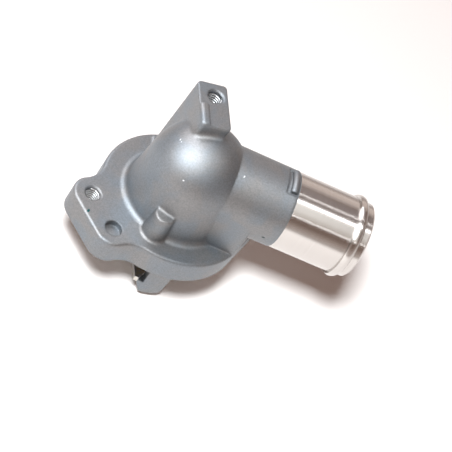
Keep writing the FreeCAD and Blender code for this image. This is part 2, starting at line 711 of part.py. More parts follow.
TURN = "(lug_bearing * 1deg)"
lug_hole = new_sketch(casting, "lug_thread", "XZ_Plane",
                      aside=f"lug_hole_out * cos{TURN} - lug_hole_side * sin{TURN}",
                      beyond=f"-(lug_hole_out * sin{TURN} + lug_hole_side * cos{TURN})")
add_outline(lug_hole, [
    ("0", f"{LUG_FACE} - stud_depth - thread_radius / 2"),
    ("small_chamfer", f"{LUG_FACE} - stud_depth - thread_radius / 2"),
    ("thread_radius", f"{LUG_FACE} - stud_depth"),
    ("thread_radius", f"{LUG_FACE} - (thread_mouth - thread_radius)"),
    ("thread_mouth + cut_over", f"{LUG_FACE} + cut_over"),
    ("0", f"{LUG_FACE} + cut_over"),
])
spin(casting, "Groove", lug_hole)

# Flange seal ring: moulded rubber with a rounded face

turned_part("flange_seal_ring", [
    (f"{RING} + seal_slack", "groove_deep"),
    (f"{RING} + seal_slack", "0"),
    (f"{RING} + groove_wide - seal_slack", "0", "groove_wide / 2"),
    (f"{RING} + groove_wide - seal_slack", "groove_deep"),
])

# Piston rod and the wax element that slides on it

turned_part("piston_rod", [
    ("0", "-piston_tail"),
    ("piston_radius - piston_edge", "-piston_tail"),
    ("piston_radius", "-piston_tail + piston_edge"),
    ("piston_radius", f"{SOCKET} - piston_edge"),
    ("piston_radius - piston_edge", SOCKET),
    ("0", SOCKET),
])

turned_part("element_guide", [
    ("piston_radius + guide_slack", "collar_low"),
    (COLLAR, "collar_low"),
    (COLLAR, "collar_high"),
    ("hub_radius", "collar_high"),
    ("hub_radius", f"{HUB} + plate_thick"),
    ("hub_radius - clip_notch", f"{HUB} + plate_thick"),
    ("hub_radius - clip_notch", f"{HUB} + plate_thick + clip_thick"),
    ("hub_radius", f"{HUB} + plate_thick + clip_thick"),
    ("hub_radius", f"{HUB} + plate_thick + clip_thick + guide_land"),
    ("guide_radius", f"{HUB} + plate_thick + clip_thick + 2 * guide_land"),
    ("guide_radius", "guide_top - piston_edge"),
    ("guide_radius - piston_edge", "guide_top"),
    ("piston_radius + guide_slack", "guide_top"),
])

turned_part("element_case", [
    ("0", f"-({CLIP} + stem_tail)"),
    ("stem_radius - small_chamfer", f"-({CLIP} + stem_tail)"),
    ("stem_radius", f"-({CLIP} + stem_tail) + small_chamfer"),
    ("stem_radius", f"-{CLIP}"),
    (NOTCH, f"-{CLIP}"),
    (NOTCH, f"-({BYPASS} + bypass_thick)"),
    ("stem_radius", f"-({BYPASS} + bypass_thick)"),
    ("stem_radius", "-case_bottom"),
    ("case_radius - case_bend", "-case_bottom"),
    ("case_radius", "-case_bottom + case_bend", "case_bend"),
    ("case_radius", "rim_low - case_bend"),
    (RIM, "rim_low"),
    (RIM, f"{HUB} - small_chamfer"),
    (f"{RIM} - small_chamfer", HUB),
    ("hub_radius + fit_slack", HUB),
    ("hub_radius + fit_slack", "collar_high"),
    (COLLAR, "collar_high"),
    (COLLAR, "collar_low"),
    ("case_radius - case_wall", "collar_low"),
    ("case_radius - case_wall", "-case_bottom + 2 * case_wall"),
    ("0", "-case_bottom + 2 * case_wall"),
])

turned_part("rubber_boot", [
    ("0", "-boot_bottom"),
    ("boot_radius - boot_bend", "-boot_bottom"),
    ("boot_radius", "-boot_bottom + boot_bend", "boot_bend"),
    ("boot_radius", "collar_low"),
    ("piston_radius + boot_slack", "collar_low"),
    ("piston_radius + boot_slack", "-piston_tail - boot_slack"),
    ("0", "-piston_tail - boot_slack"),
])

turned_part("wax_charge", [
    ("0", "-case_bottom + 2 * case_wall"),
    ("case_radius - case_wall", "-case_bottom + 2 * case_wall"),
    ("case_radius - case_wall", "collar_low"),
    ("boot_radius", "collar_low"),
    ("boot_radius", "-boot_bottom + boot_bend"),
    ("boot_radius - boot_bend", "-boot_bottom", "-boot_bend"),
    ("0", "-boot_bottom"),
])

# Valve plate: a pressed disc with a raised hub, clamped on the guide by a circlip

plate = turned_part("valve_plate", [
    ("hub_radius + fit_slack", HUB),
    (DISH, HUB),
    (f"{DISH} + dish_run", "plate_low"),
    ("throat_radius + plate_over", "plate_low"),
    ("throat_radius + plate_over", "plate_low + plate_thick"),
    (f"{DISH} + dish_run + plate_thick / 3", "plate_low + plate_thick"),
    (f"{DISH} + plate_thick / 3", f"{HUB} + plate_thick"),
    ("hub_radius + fit_slack", f"{HUB} + plate_thick"),
])
bleed_hole = new_sketch(plate, "bleed_hole", "XY_Plane")
add_circle(bleed_hole, f"-{BLEED}", "0", "bleed_hole")
push(plate, "Pocket", bleed_hole, "plate_low + plate_thick + cut_over", back=True)

turned_part("valve_seal", [
    ("throat_radius - lip_in", "plate_low - lip_thick"),
    ("throat_radius + lip_out - lip_bend", "plate_low - lip_thick"),
    ("throat_radius + lip_out", "plate_low - lip_thick + lip_bend", "lip_bend"),
    ("throat_radius + lip_out", "plate_low + plate_thick + lip_thick - lip_bend"),
    ("throat_radius + lip_out - lip_bend", "plate_low + plate_thick + lip_thick", "lip_bend"),
    ("throat_radius - lip_in", "plate_low + plate_thick + lip_thick"),
    ("throat_radius - lip_in", "plate_low + plate_thick"),
    ("throat_radius + plate_over", "plate_low + plate_thick"),
    ("throat_radius + plate_over", "plate_low"),
    ("throat_radius - lip_in", "plate_low"),
])


def open_clip(name, inner, outer, low):
    """A flat clip with one open side."""
    body = new_body(name)
    sketch = new_sketch(body, name + "_outline", "XY_Plane", lift=low)
    across, along = "cos(clip_gap * 1deg)", "sin(clip_gap * 1deg)"
    add_outline(sketch, [
        (f"{outer} * {across}", f"{outer} * {along}"),
        (f"-{outer}", "0", outer),
        (f"{outer} * {across}", f"-{outer} * {along}", outer),
        (f"{inner} * {across}", f"-{inner} * {along}"),
        (f"-{inner}", "0", f"-{inner}"),
        (f"{inner} * {across}", f"{inner} * {along}", f"-{inner}"),
    ])
    push(body, "Pad", sketch, "clip_thick")


open_clip("plate_circlip", "(hub_radius - clip_notch + fit_slack)",
          "(hub_radius - clip_notch + clip_band)", f"{HUB} + plate_thick")
open_clip("bypass_clip", f"({NOTCH} + fit_slack)", f"({NOTCH} + stem_band)", f"-{CLIP}")

# Bleed pin: hangs loose in the valve plate by its head

PIN = "(plate_low + plate_thick + bleed_gap)"
bleed_pin = new_body("bleed_pin")
pin_section = new_sketch(bleed_pin, "pin_section", "XZ_Plane", aside=f"-{BLEED}")
add_outline(pin_section, [
    ("0", "plate_low - bleed_play - 2 * bleed_bulb"),
    ("bleed_bulb - small_chamfer", "plate_low - bleed_play - 2 * bleed_bulb"),
    ("bleed_bulb", "plate_low - bleed_play - 2 * bleed_bulb + small_chamfer"),
    ("bleed_bulb", "plate_low - bleed_play - small_chamfer"),
    ("bleed_stem", "plate_low - bleed_play"),
    ("bleed_stem", PIN),
    ("bleed_head", PIN),
    ("bleed_head", f"{PIN} + bleed_cap - small_chamfer"),
    ("bleed_head - small_chamfer", f"{PIN} + bleed_cap"),
    ("0", f"{PIN} + bleed_cap"),
])
spin(bleed_pin, "Revolution", pin_section)

# Crossbar: pressed disc with two tapered arms whose edges are turned up

crossbar = new_body("crossbar")
disc = new_sketch(crossbar, "bar_disc", "XY_Plane", lift=f"-{BAR}")
add_circle(disc, "0", "0", DISC)
push(crossbar, "Pad", disc, "bar_thick")
ROOT = f"({DISC} - bar_root)"
TIP = f"({LEG_FACE} + bar_out)"
RISE = f"({DISC} + rim_start)"
SLOPE = f"((arm_root - arm_tip) / ({TIP} - {ROOT}))"
arm = new_sketch(crossbar, "bar_arm", "XY_Plane", lift=f"-{BAR}", turn="bar_bearing + 90")
add_outline(arm, [
    ("-arm_root", f"-{ROOT}"),
    ("-arm_tip", f"-{TIP}"),
    ("arm_tip", f"-{TIP}"),
    ("arm_root", f"-{ROOT}"),
])
arm_run = push(crossbar, "Pad", arm, "bar_thick")
START = f"(arm_root - ({RISE} - {ROOT}) * {SLOPE})"
rims = []
for side, sign in (("left", "-"), ("right", "")):
    rim = new_sketch(crossbar, f"{side}_rim", "XY_Plane", lift="-bar_top - bar_thick / 2",
                     turn="bar_bearing + 90")
    add_outline(rim, [
        (f"{sign}({START})", f"-{RISE}"),
        (f"{sign}(arm_tip)", f"-{TIP}"),
        (f"{sign}(arm_tip - arm_rim)", f"-{TIP}"),
        (f"{sign}({START} - arm_rim)", f"-{RISE}"),
    ])
    rims.append(push(crossbar, "Pad", rim, "bar_thick / 2 + rim_rise"))
half_turn(crossbar, [arm_run] + rims)
opening = new_sketch(crossbar, "bar_hole", "XY_Plane", lift=f"-{BAR} - cut_over")
add_circle(opening, "0", "0", "case_radius + bar_slack")
push(crossbar, "Pocket", opening, "bar_thick + 2 * cut_over", back=True)

# Bypass valve: a pressed disc that slides on the stem

turned_part("bypass_valve", [
    ("stem_radius + stem_slack", f"-({BYPASS} + bypass_thick)"),
    ("bypass_radius - small_chamfer", f"-({BYPASS} + bypass_thick)"),
    ("bypass_radius", f"-({BYPASS} + bypass_thick) + small_chamfer"),
    ("bypass_radius", f"-{BYPASS} - small_chamfer"),
    ("bypass_radius - small_chamfer", f"-{BYPASS}"),
    ("stem_radius + stem_slack", f"-{BYPASS}"),
])

# Springs: cone-shaped coils of round wire with open ends


def coil_spring(name, low, high, low_radius, high_radius, wire, turns):
    """A coil that stands on one height and ends under another."""
    path = doc.addObject("Part::Helix", name + "_path")
    rise = f"(({high}) - ({low}) - 2 * ({wire} + fit_slack))"
    start = f"({low}) + {wire} + fit_slack"
    path.setExpression("Height", formula(rise))
    path.setExpression("Pitch", formula(f"{rise} / {turns}"))
    path.setExpression("Radius", formula(low_radius))
    path.setExpression("Angle", formula(f"atan(({high_radius} - {low_radius}) / {rise})"))
    path.setExpression("Placement.Base.z", formula(start))
    section = doc.addObject("Part::Circle", name + "_wire")
    section.setExpression("Radius", formula(wire))
    section.Placement.Rotation = FreeCAD.Rotation(FreeCAD.Vector(1, 0, 0), 90)
    section.setExpression("Placement.Base.x", formula(low_radius))
    section.setExpression("Placement.Base.z", formula(start))
    doc.recompute()
    coil = doc.addObject("Part::Sweep", name)
    coil.Sections = [section]
    coil.Spine = (path, [f"Edge{n + 1}" for n in range(len(path.Shape.Edges))])
    coil.Solid = True
    coil.Frenet = True
    doc.recompute()


coil_spring("main_spring", "-bar_top", "plate_low", f"({COIL} + main_flare)", COIL, "main_wire",
            "main_turns")
coil_spring("bypass_spring", f"-{BYPASS}", "-case_bottom", "small_low", "small_high", "small_wire",
            "small_turns")

# Check every object and write the sub-parts

SUB_PARTS = [
    "housing_casting", "flange_seal_ring", "crossbar", "main_spring",
    "piston_rod", "element_guide", "element_case", "rubber_boot", "wax_charge",
    "valve_plate", "valve_seal", "plate_circlip", "bleed_pin",
    "bypass_valve", "bypass_spring", "bypass_clip",
]
doc.recompute()
for item in doc.Objects:
    if "Invalid" in item.State or "Error" in item.State:
        raise RuntimeError(f"{item.Label} did not build")
parts = [doc.getObjectsByLabel(label)[0] for label in SUB_PARTS]
for part in parts:
    if part.Shape.isNull() or not part.Shape.isValid():
        raise RuntimeError(f"{part.Label} has no valid shape")
os.makedirs("parts", exist_ok=True)
for part in parts:
    part.Shape.exportStep(f"parts/{part.Label}.step")
    print(part.Label, len(part.Shape.Solids), round(part.Shape.Volume, 1))
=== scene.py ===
import json
import math

import bmesh
import bpy
from mathutils import Matrix, Vector


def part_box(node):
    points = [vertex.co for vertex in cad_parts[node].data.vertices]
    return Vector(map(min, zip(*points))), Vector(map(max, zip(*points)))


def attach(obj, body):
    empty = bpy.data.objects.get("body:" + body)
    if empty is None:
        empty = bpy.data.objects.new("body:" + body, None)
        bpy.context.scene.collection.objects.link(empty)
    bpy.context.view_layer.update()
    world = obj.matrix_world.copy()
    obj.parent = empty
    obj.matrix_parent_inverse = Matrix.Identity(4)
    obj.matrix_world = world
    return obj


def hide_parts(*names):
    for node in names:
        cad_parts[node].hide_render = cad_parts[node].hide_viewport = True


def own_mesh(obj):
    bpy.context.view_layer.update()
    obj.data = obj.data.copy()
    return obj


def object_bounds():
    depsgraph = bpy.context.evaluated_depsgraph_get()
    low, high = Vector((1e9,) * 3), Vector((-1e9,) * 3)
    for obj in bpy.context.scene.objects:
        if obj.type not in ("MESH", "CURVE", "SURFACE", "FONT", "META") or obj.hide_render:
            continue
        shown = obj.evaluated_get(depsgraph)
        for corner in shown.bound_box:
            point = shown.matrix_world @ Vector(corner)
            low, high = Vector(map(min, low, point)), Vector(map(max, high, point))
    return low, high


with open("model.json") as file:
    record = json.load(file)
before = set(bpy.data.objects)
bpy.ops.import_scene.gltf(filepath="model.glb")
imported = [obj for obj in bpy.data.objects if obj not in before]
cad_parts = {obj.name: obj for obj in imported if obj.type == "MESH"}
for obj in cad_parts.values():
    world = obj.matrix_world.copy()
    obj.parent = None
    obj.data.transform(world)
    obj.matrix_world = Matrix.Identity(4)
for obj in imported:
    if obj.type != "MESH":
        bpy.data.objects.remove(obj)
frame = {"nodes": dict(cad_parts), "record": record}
cad_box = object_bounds()

# The housing casting is one piece of die-cast aluminium, shot-blasted to a grey sandy skin.
# The hose spigot is turned bright on a lathe, and the mating face under the flange is milled, so that
# both catch the light while the skin stays dull.

mm = 0.001


def paint(code):
    """The linear colour of an sRGB hex value."""
    parts = [int(code[n:n + 2], 16) / 255 for n in (1, 3, 5)]
    return [c / 12.92 if c < 0.04045 else ((c + 0.055) / 1.055) ** 2.4 for c in parts] + [1.0]


def add(tree, kind, sockets=None, **settings):
    """A new node with its settings. Each socket, by name or number, gets a value or another's output."""
    made = tree.nodes.new(kind)
    for name, value in settings.items():
        setattr(made, name, value)
    for name, value in (sockets or {}).items():
        if isinstance(value, bpy.types.NodeSocket):
            tree.links.new(value, made.inputs[name])
        else:
            made.inputs[name].default_value = value
    return made


def blank(name):
    """A new material with an empty tree, and the place in metres that its patterns read."""
    material = bpy.data.materials.new(name)
    material.use_nodes = True
    material.node_tree.nodes.clear()
    place = add(material.node_tree, "ShaderNodeTexCoord").outputs["Object"]
    return material, material.node_tree, place


cast_aluminium, tree, place = blank("shot_blasted_cast_aluminium")

# blasting leaves grains of about 0.3 mm; they are drawn wider, because so small they would not show
grain_width = 0.7 * mm
grain = add(tree, "ShaderNodeTexNoise", {"Vector": place, "Scale": 1 / grain_width, "Detail": 3.0,
                                         "Roughness": 0.6})
# the film of release agent and light corrosion, plain grey or slightly blue, lies in patches
patch_width = 14 * mm
patches = add(tree, "ShaderNodeTexNoise", {"Vector": place, "Scale": 1 / patch_width, "Detail": 3.0,
                                           "Distortion": 0.5})
patch_share = add(tree, "ShaderNodeMapRange", {"Value": patches.outputs["Fac"], "From Min": 0.4,
                                               "From Max": 0.62})
film = add(tree, "ShaderNodeMix", {"Factor": patch_share.outputs["Result"], "A": paint("#969696"),
                                   "B": paint("#8e959b")}, data_type="RGBA")
# the pits between the grains are darker
grain_share = add(tree, "ShaderNodeMapRange", {"Value": grain.outputs["Fac"], "From Min": 0.3,
                                               "From Max": 0.7, "To Min": 0.45})
skin_colour = add(tree, "ShaderNodeMix", {"Factor": grain_share.outputs["Result"], "A": paint("#707377"),
                                          "B": film.outputs["Result"]}, data_type="RGBA")

# nicks and specks that handling has left are ovals, which fade out about their rim. Each has its place
# in mm, its turn about the upright axis in degrees, its half length and half width in mm, and its colour.
bruises = (
    ((-14.9, -3.0, 50.7), 62, (1.5, 0.22), "#e6eaf0"),
    ((-14.2, -4.0, 50.9), 62, (0.9, 0.18), "#dfe4ea"),
    ((-7.9, -18.6, 44.4), 20, (0.8, 0.3), "#f2f4f6"),
    ((16.9, -7.5, 50.2), 74, (2.2, 0.22), "#e9edf2"),
    ((15.0, -4.4, 51.0), 60, (0.9, 0.2), "#dfe4ea"),
    ((-37.5, -27.0, 12.2), 70, (0.95, 0.55), "#1f5a5c"),
    ((37.3, -18.0, 30.5), 0, (0.8, 0.6), "#3f4a4c"),
    ((-3.0, -31.2, 25.6), 35, (1.4, 0.2), "#dde2e8"),
)
marked_colour = skin_colour.outputs["Result"]
for spot, turned_by, (long, wide), code in bruises:
    oval = add(tree, "ShaderNodeMapping", {
        "Vector": place, "Location": Vector(spot) * mm, "Rotation": (0, 0, math.radians(turned_by)),
        "Scale": Vector((long, wide, wide)) * mm}, vector_type="TEXTURE")
    reach = add(tree, "ShaderNodeVectorMath", {0: oval.outputs["Vector"]}, operation="LENGTH")
    mark = add(tree, "ShaderNodeMapRange", {"Value": reach.outputs["Value"], "From Min": 1.25,
                                            "From Max": 0.75})
    marked = add(tree, "ShaderNodeMix", {"Factor": mark.outputs["Result"], "A": marked_colour,
                                         "B": paint(code)}, data_type="RGBA")
    marked_colour = marked.outputs["Result"]

# blasting rounds every edge and fillet a little, so edges and corners catch the light as soft lines
edge_rounding = 1.2 * mm
grain_depth = 0.1 * mm
soft_edge = add(tree, "ShaderNodeBevel", {"Radius": edge_rounding}, samples=4)
skin_bump = add(tree, "ShaderNodeBump", {"Height": grain.outputs["Fac"], "Strength": 0.3,
                                         "Distance": grain_depth, "Normal": soft_edge.outputs["Normal"]})
skin = add(tree, "ShaderNodeBsdfPrincipled", {"Base Color": marked_colour, "Metallic": 1.0,
                                              "Roughness": 0.54, "Normal": skin_bump.outputs["Normal"]})

# The spigot is turned from just past the cast shoulder to its end. Its bore stays as cast, and so does the
# far ear, which reaches past the shoulder too, but lies further from the spigot's axis than the bead.
mounts = {mount["name"]: mount for mount in frame["record"]["mounts"]}
spigot_height = mounts["hose_spigot"]["pos_m"][2]
turned_from = 43.05 * mm
bore_edge = 15.4 * mm
bead_edge = 20.9 * mm
apart = add(tree, "ShaderNodeSeparateXYZ", {"Vector": place})
beyond = add(tree, "ShaderNodeMath", {0: apart.outputs["X"], 1: turned_from}, operation="GREATER_THAN")
lift = add(tree, "ShaderNodeMath", {0: apart.outputs["Z"], 1: spigot_height}, operation="SUBTRACT")
section = add(tree, "ShaderNodeCombineXYZ", {"Y": apart.outputs["Y"], "Z": lift.outputs["Value"]})
out = add(tree, "ShaderNodeVectorMath", {0: section.outputs["Vector"]}, operation="LENGTH")
clear_of_bore = add(tree, "ShaderNodeMath", {0: out.outputs["Value"], 1: bore_edge},
                    operation="GREATER_THAN")
clear_of_ear = add(tree, "ShaderNodeMath", {0: out.outputs["Value"], 1: bead_edge}, operation="LESS_THAN")
on_tube = add(tree, "ShaderNodeMath", {0: beyond.outputs["Value"], 1: clear_of_bore.outputs["Value"]},
              operation="MULTIPLY")
turned_share = add(tree, "ShaderNodeMath", {0: on_tube.outputs["Value"], 1: clear_of_ear.outputs["Value"]},
                   operation="MULTIPLY")
# the tool's feed leaves rings 0.15 mm apart; they are drawn wider and faint
ring_spacing = 0.8 * mm
rings = add(tree, "ShaderNodeTexNoise", {"W": apart.outputs["X"], "Scale": 1 / ring_spacing,
                                         "Detail": 2.0}, noise_dimensions="1D")
ring_share = add(tree, "ShaderNodeMapRange", {"Value": rings.outputs["Fac"], "To Min": 0.24,
                                              "To Max": 0.28})
turned_colour = add(tree, "ShaderNodeMix", {"Factor": rings.outputs["Fac"], "A": paint("#c6c2be"),
                                            "B": paint("#d4d1ce")}, data_type="RGBA")
# the grooves run round the axis, and they spread each reflection along the spigot
sideways = add(tree, "ShaderNodeMath", {0: apart.outputs["Y"], 1: -1.0}, operation="MULTIPLY")
around = add(tree, "ShaderNodeCombineXYZ", {"Y": lift.outputs["Value"], "Z": sideways.outputs["Value"]})
turned = add(tree, "ShaderNodeBsdfPrincipled", {
    "Base Color": turned_colour.outputs["Result"], "Metallic": 1.0, "Roughness": ring_share.outputs["Result"],
    "Anisotropic": 0.85, "Anisotropic Rotation": 0.25, "Tangent": around.outputs["Vector"]})
skin_or_turned = add(tree, "ShaderNodeMixShader", {0: turned_share.outputs["Value"],
                                                   1: skin.outputs["BSDF"], 2: turned.outputs["BSDF"]})

# The cutter of the mating face leaves arcs 0.5 mm apart, round a point beyond the flange. They are drawn
# wider apart, so that they show as alternate light and grey strokes.
arc_spacing = 2.37 * mm
cutter_centre = Vector((-20, 60, 0)) * mm
arcs = add(tree, "ShaderNodeMapping", {"Vector": place, "Location": -cutter_centre})
# a wave texture has 20 / tau waves a unit at scale 1
strokes = add(tree, "ShaderNodeTexWave", {"Vector": arcs.outputs["Vector"],
                                          "Scale": math.tau / 20 / arc_spacing, "Distortion": 0.4},
              wave_type="RINGS", rings_direction="Z")
milled_colour = add(tree, "ShaderNodeMix", {"Factor": strokes.outputs["Fac"], "A": paint("#c3c3c3"),
                                            "B": paint("#dcdcdb")}, data_type="RGBA")
milled = add(tree, "ShaderNodeBsdfPrincipled", {"Base Color": milled_colour.outputs["Result"],
                                                "Metallic": 1.0, "Roughness": 0.33})
# the face is what looks straight down at the height of the flange's underside
face_height, face_margin = 0.0, 0.3 * mm
facing = add(tree, "ShaderNodeNewGeometry").outputs["Normal"]
down = add(tree, "ShaderNodeSeparateXYZ", {"Vector": facing})
faces_down = add(tree, "ShaderNodeMath", {0: down.outputs["Z"], 1: -0.99}, operation="LESS_THAN")
at_face = add(tree, "ShaderNodeMath", {0: apart.outputs["Z"], 1: face_height, 2: face_margin},
              operation="COMPARE")
milled_share = add(tree, "ShaderNodeMath", {0: faces_down.outputs["Value"], 1: at_face.outputs["Value"]},
                   operation="MULTIPLY")
whole = add(tree, "ShaderNodeMixShader", {0: milled_share.outputs["Value"],
                                          1: skin_or_turned.outputs["Shader"], 2: milled.outputs["BSDF"]})
add(tree, "ShaderNodeOutputMaterial", {"Surface": whole.outputs["Shader"]})
frame["nodes"]["housing_casting"].data.materials[0] = cast_aluminium

# The M8 threads are cut into the casting by a tap, in both ears and in the lug, and are bright bare
# aluminium. The casting comes with plain tapping holes, so each thread is a ridge that climbs round one.


def piece(name, mesh, material, body):
    """A new object from mesh data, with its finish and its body."""
    for face in mesh.faces:
        face.smooth = True
    data = bpy.data.meshes.new(name)
    mesh.to_mesh(data)
    mesh.free()
    data.materials.append(material)
    made = bpy.data.objects.new(name, data)
    bpy.context.scene.collection.objects.link(made)
    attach(made, body)
    return made


tapped_aluminium, tree, place = blank("tapped_aluminium")
# the tap's cutting teeth leave chatter marks finer than a tenth of a mm, drawn coarser so that they show
chatter_width = 0.4 * mm
chatter = add(tree, "ShaderNodeTexNoise", {"Vector": place, "Scale": 1 / chatter_width, "Detail": 2.0})
tapped_colour = add(tree, "ShaderNodeMix", {"Factor": chatter.outputs["Fac"], "A": paint("#c4c5c6"),
                                            "B": paint("#e4e5e6")}, data_type="RGBA")
bare = add(tree, "ShaderNodeBsdfPrincipled", {"Base Color": tapped_colour.outputs["Result"],
                                              "Metallic": 1.0, "Roughness": 0.3})
add(tree, "ShaderNodeOutputMaterial", {"Surface": bare.outputs["BSDF"]})

pitch = 1.25 * mm
# the ridge stands on the wall of its hole, which is 3.4 mm in radius, and its crest is a narrow flat
root, crest = 3.45 * mm, 3.02 * mm
tooth = ((root, 0.0), (crest, 0.42 * pitch), (crest, 0.54 * pitch), (root, 0.96 * pitch))
steps_a_turn = 20
ear_x, ear_y = 37.4 * mm, 16.5 * mm
lug_x, lug_y, _ = mounts["lug_thread"]["pos_m"]
for name, across, along, low, high in (("thread_left_ear", -ear_x, -ear_y, 0.8 * mm, 11.2 * mm),
                                       ("thread_right_ear", ear_x, ear_y, 0.8 * mm, 11.2 * mm),
                                       ("thread_lug", lug_x, lug_y, 48.6 * mm, 61.2 * mm)):
    ridge = bmesh.new()
    turns = (high - low - pitch) / pitch
    start = ridge.faces.new([ridge.verts.new((across + radius, along, low + rise)) for radius, rise in tooth])
    steps = int(turns * steps_a_turn)
    bmesh.ops.spin(ridge, geom=[start] + list(start.edges), cent=(across, along, 0), axis=(0, 0, 1),
                   dvec=(0, 0, turns * pitch / steps), angle=turns * math.tau, steps=steps,
                   use_duplicate=False)
    bmesh.ops.holes_fill(ridge, edges=ridge.edges, sides=len(tooth))
    bmesh.ops.recalc_face_normals(ridge, faces=ridge.faces)
    piece(name, ridge, tapped_aluminium, "housing")

# The seal ring lies in the groove of the mating face, the boot covers the piston's end, and the valve's
# lip is moulded round the plate. All three are black rubber with a matt moulded skin and a little dust.

moulded_rubber, tree, place = blank("moulded_black_rubber")
# the mould's spark-eroded skin is about 0.1 mm fine; it is drawn coarser so that it shows
pore_width, pore_depth = 0.35 * mm, 0.05 * mm
pores = add(tree, "ShaderNodeTexNoise", {"Vector": place, "Scale": 1 / pore_width, "Detail": 2.0})
# chalky dust gathers in clouds
dust_width = 5 * mm
dust = add(tree, "ShaderNodeTexNoise", {"Vector": place, "Scale": 1 / dust_width, "Detail": 3.0})
dust_share = add(tree, "ShaderNodeMapRange", {"Value": dust.outputs["Fac"], "From Min": 0.45,
                                              "From Max": 0.75, "To Max": 0.5})
rubber_colour = add(tree, "ShaderNodeMix", {"Factor": dust_share.outputs["Result"], "A": paint("#1b1b1c"),
                                            "B": paint("#343433")}, data_type="RGBA")
rubber_bump = add(tree, "ShaderNodeBump", {"Height": pores.outputs["Fac"], "Strength": 0.25,
                                           "Distance": pore_depth})
rubber = add(tree, "ShaderNodeBsdfPrincipled", {"Base Color": rubber_colour.outputs["Result"],
                                                "Roughness": 0.6, "IOR": 1.52,
                                                "Normal": rubber_bump.outputs["Normal"]})
add(tree, "ShaderNodeOutputMaterial", {"Surface": rubber.outputs["BSDF"]})
for name in ("flange_seal_ring", "rubber_boot", "valve_seal"):
    frame["nodes"][name].data.materials[0] = moulded_rubber

# The crossbar hooks into the two legs and carries the main spring. The valve plate and the bypass disc
# are pressed from sheet as it is. Their zinc plating is a pale grey with warm and bluish clouds.

zinc_plated_steel, tree, place = blank("zinc_plated_pressed_steel")
# the plating's crystals and the sheet's rolling show as clouds, which differ in colour and in gloss
cloud_width = 3 * mm
clouds = add(tree, "ShaderNodeTexNoise", {"Vector": place, "Scale": 1 / cloud_width, "Detail": 3.0,
                                          "Distortion": 0.6})
cloud_share = add(tree, "ShaderNodeMapRange", {"Value": clouds.outputs["Fac"], "From Min": 0.35,
                                               "From Max": 0.65})
zinc_colour = add(tree, "ShaderNodeMix", {"Factor": cloud_share.outputs["Result"], "A": paint("#cbc6b8"),
                                          "B": paint("#c3c6cc")}, data_type="RGBA")
zinc_rough = add(tree, "ShaderNodeMapRange", {"Value": clouds.outputs["Fac"], "To Min": 0.28,
                                              "To Max": 0.42})
# pressing the sheet leaves a fine orange peel
peel_width, peel_depth = 0.5 * mm, 0.03 * mm
peel = add(tree, "ShaderNodeTexNoise", {"Vector": place, "Scale": 1 / peel_width, "Detail": 1.0})
zinc_bump = add(tree, "ShaderNodeBump", {"Height": peel.outputs["Fac"], "Strength": 0.2,
                                         "Distance": peel_depth})
zinc = add(tree, "ShaderNodeBsdfPrincipled", {"Base Color": zinc_colour.outputs["Result"], "Metallic": 1.0,
                                              "Roughness": zinc_rough.outputs["Result"],
                                              "Normal": zinc_bump.outputs["Normal"]})
add(tree, "ShaderNodeOutputMaterial", {"Surface": zinc.outputs["BSDF"]})
for name in ("crossbar", "valve_plate", "bypass_valve"):
    frame["nodes"][name].data.materials[0] = zinc_plated_steel

# The piston rod is a ground and polished stainless pin. It bears in the socket under the dome
# and is pushed out of the wax element as the coolant warms.

polished_steel, tree, place = blank("ground_stainless_steel")
# grinding leaves rings 0.05 mm apart round the rod; they are drawn wider so that they show
grinding_spacing = 0.4 * mm
along_rod = add(tree, "ShaderNodeSeparateXYZ", {"Vector": place})
grinding = add(tree, "ShaderNodeTexNoise", {"W": along_rod.outputs["Z"], "Scale": 1 / grinding_spacing,
                                            "Detail": 1.0}, noise_dimensions="1D")
rod_colour = add(tree, "ShaderNodeMix", {"Factor": grinding.outputs["Fac"], "A": paint("#bfc0c2"),
                                         "B": paint("#d2d2d4")}, data_type="RGBA")
rod_rough = add(tree, "ShaderNodeMapRange", {"Value": grinding.outputs["Fac"], "To Min": 0.12,
                                             "To Max": 0.2})
rod = add(tree, "ShaderNodeBsdfPrincipled", {"Base Color": rod_colour.outputs["Result"], "Metallic": 1.0,
                                             "Roughness": rod_rough.outputs["Result"]})
add(tree, "ShaderNodeOutputMaterial", {"Surface": rod.outputs["BSDF"]})
frame["nodes"]["piston_rod"].data.materials[0] = polished_steel

# The element's case is a drawn brass cup, crimped over the turned brass guide that the piston slides in.
# The small bleed pin hangs loose in the valve plate and lets air past. All are plain yellow brass.

turned_brass, tree, place = blank("turned_brass")
# turning leaves rings 0.1 mm apart round the upright axis; they are drawn wider so that they show
turning_spacing = 0.5 * mm
along_axis = add(tree, "ShaderNodeSeparateXYZ", {"Vector": place})
turning = add(tree, "ShaderNodeTexNoise", {"W": along_axis.outputs["Z"], "Scale": 1 / turning_spacing,
                                           "Detail": 1.0}, noise_dimensions="1D")
brass_rough = add(tree, "ShaderNodeMapRange", {"Value": turning.outputs["Fac"], "To Min": 0.2,
                                               "To Max": 0.36})
# the brass dulls to brown in patches
tarnish_width = 6 * mm
tarnish = add(tree, "ShaderNodeTexNoise", {"Vector": place, "Scale": 1 / tarnish_width, "Detail": 3.0})
tarnish_share = add(tree, "ShaderNodeMapRange", {"Value": tarnish.outputs["Fac"], "From Min": 0.4,
                                                 "From Max": 0.7})
brass_colour = add(tree, "ShaderNodeMix", {"Factor": tarnish_share.outputs["Result"],
                                           "A": paint("#cda75e"), "B": paint("#b48f50")}, data_type="RGBA")
brass = add(tree, "ShaderNodeBsdfPrincipled", {"Base Color": brass_colour.outputs["Result"],
                                               "Metallic": 1.0, "Roughness": brass_rough.outputs["Result"]})
add(tree, "ShaderNodeOutputMaterial", {"Surface": brass.outputs["BSDF"]})
for name in ("element_guide", "element_case", "bleed_pin"):
    frame["nodes"][name].data.materials[0] = turned_brass

# The charge inside the case is wax mixed with fine copper powder, which carries the heat inwards.
# It looks like dull brown candle wax with bright flecks.

